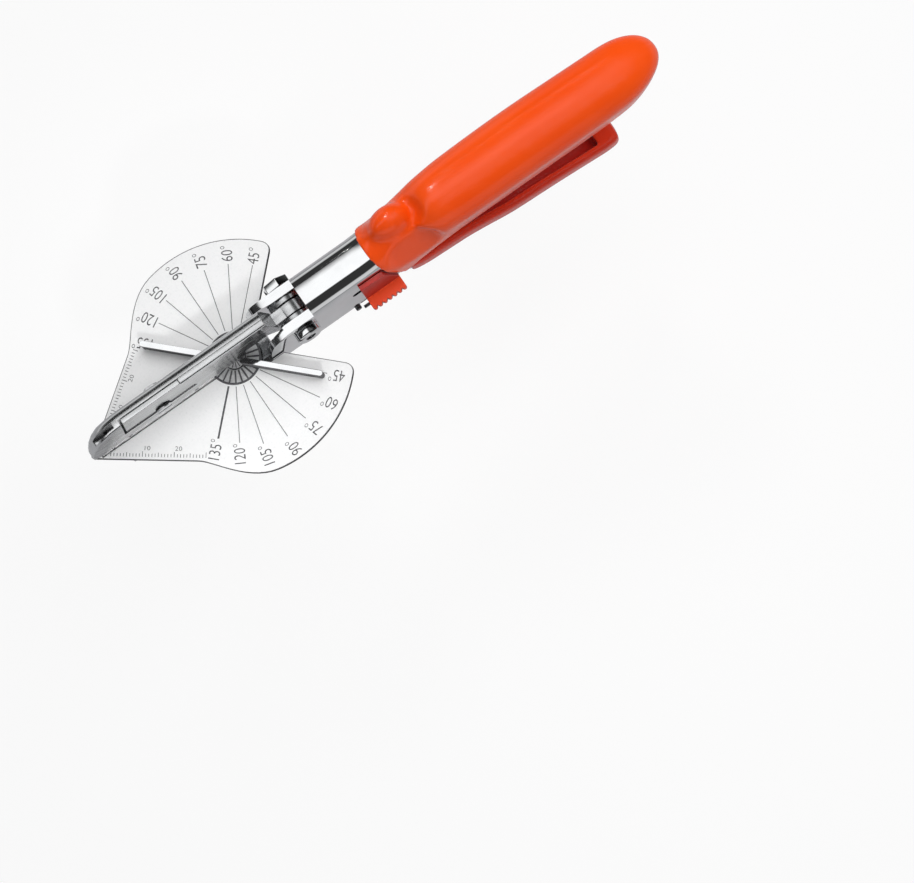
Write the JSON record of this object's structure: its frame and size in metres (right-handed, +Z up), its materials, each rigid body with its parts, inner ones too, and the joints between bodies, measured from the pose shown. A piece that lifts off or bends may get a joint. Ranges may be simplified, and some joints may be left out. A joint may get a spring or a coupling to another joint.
{
  "type": "mitre shears",
  "caption": "Mitre shears with a protractor plate, a turning fence under a bladed arm, a lower handle that opens the arm, a sliding latch and dipped grips.",
  "frame": {"origin": "underside of the jaw bar, on the axis of the turntable", "axes": "+X from the turntable to the grips, +Z up out of the plate, +Y to the left when looking from the tip to the grips"},
  "size_m": [0.2146, 0.0752, 0.0532],
  "materials": {
    "chrome": "polished",
    "steel": "bright",
    "satin": "satin",
    "dark": "plain",
    "vinyl": "dipped, glossy",
    "plastic": "moulded"
  },
  "bodies": {
    "frame": {"frame_channel": "chrome", "jaw_bar": "steel", "protractor_plate": "satin", "anvil_strip": "dark", "plate_screw_front": "steel", "plate_screw_rear": "steel", "jaw_rivet_front": "steel", "jaw_rivet_rear": "steel", "turntable_screw": "steel", "turntable_washer": "dark", "hinge_bolt": "steel", "hinge_washer": "steel", "hinge_nut": "steel", "hinge_sleeve": "dark", "upper_grip": "vinyl"},
    "fence": {"turntable_disc": "satin", "fence_right": "steel", "fence_left": "steel", "fence_pin_right": "steel", "fence_pin_left": "steel"},
    "lever": {"blade_arm": "chrome", "blade": "steel", "blade_clamp_plate": "dark", "clamp_screw": "steel", "clamp_nut": "steel", "lower_lever": "steel", "lever_rivet_upper": "dark", "lever_rivet_lower": "dark", "spring_pin": "dark", "return_spring": "dark", "catch_pin": "dark", "lower_grip": "vinyl"},
    "latch": {"latch_slider": "plastic", "latch_bracket": "dark", "latch_rivet": "steel", "latch_pin_front": "steel", "latch_pin_rear": "steel", "latch_keeper": "steel"}
  },
  "joints": [
    {"name": "jaw_hinge", "type": "hinge", "parent": "frame", "child": "lever", "pos_m": [0.0235, 0, 0.0115], "axis": [0, 1, 0], "range_deg": [0, 26], "deforming": ["return_spring"]},
    {"name": "fence_turn", "type": "hinge", "parent": "frame", "child": "fence", "pos_m": [0, 0, 0.0065], "axis": [0, 0, 1], "range_deg": [-90, 0]},
    {"name": "latch_slide", "type": "slide", "parent": "frame", "child": "latch", "axis": [-1, 0, 0], "range_m": [0, 0.0042]}
  ]
}
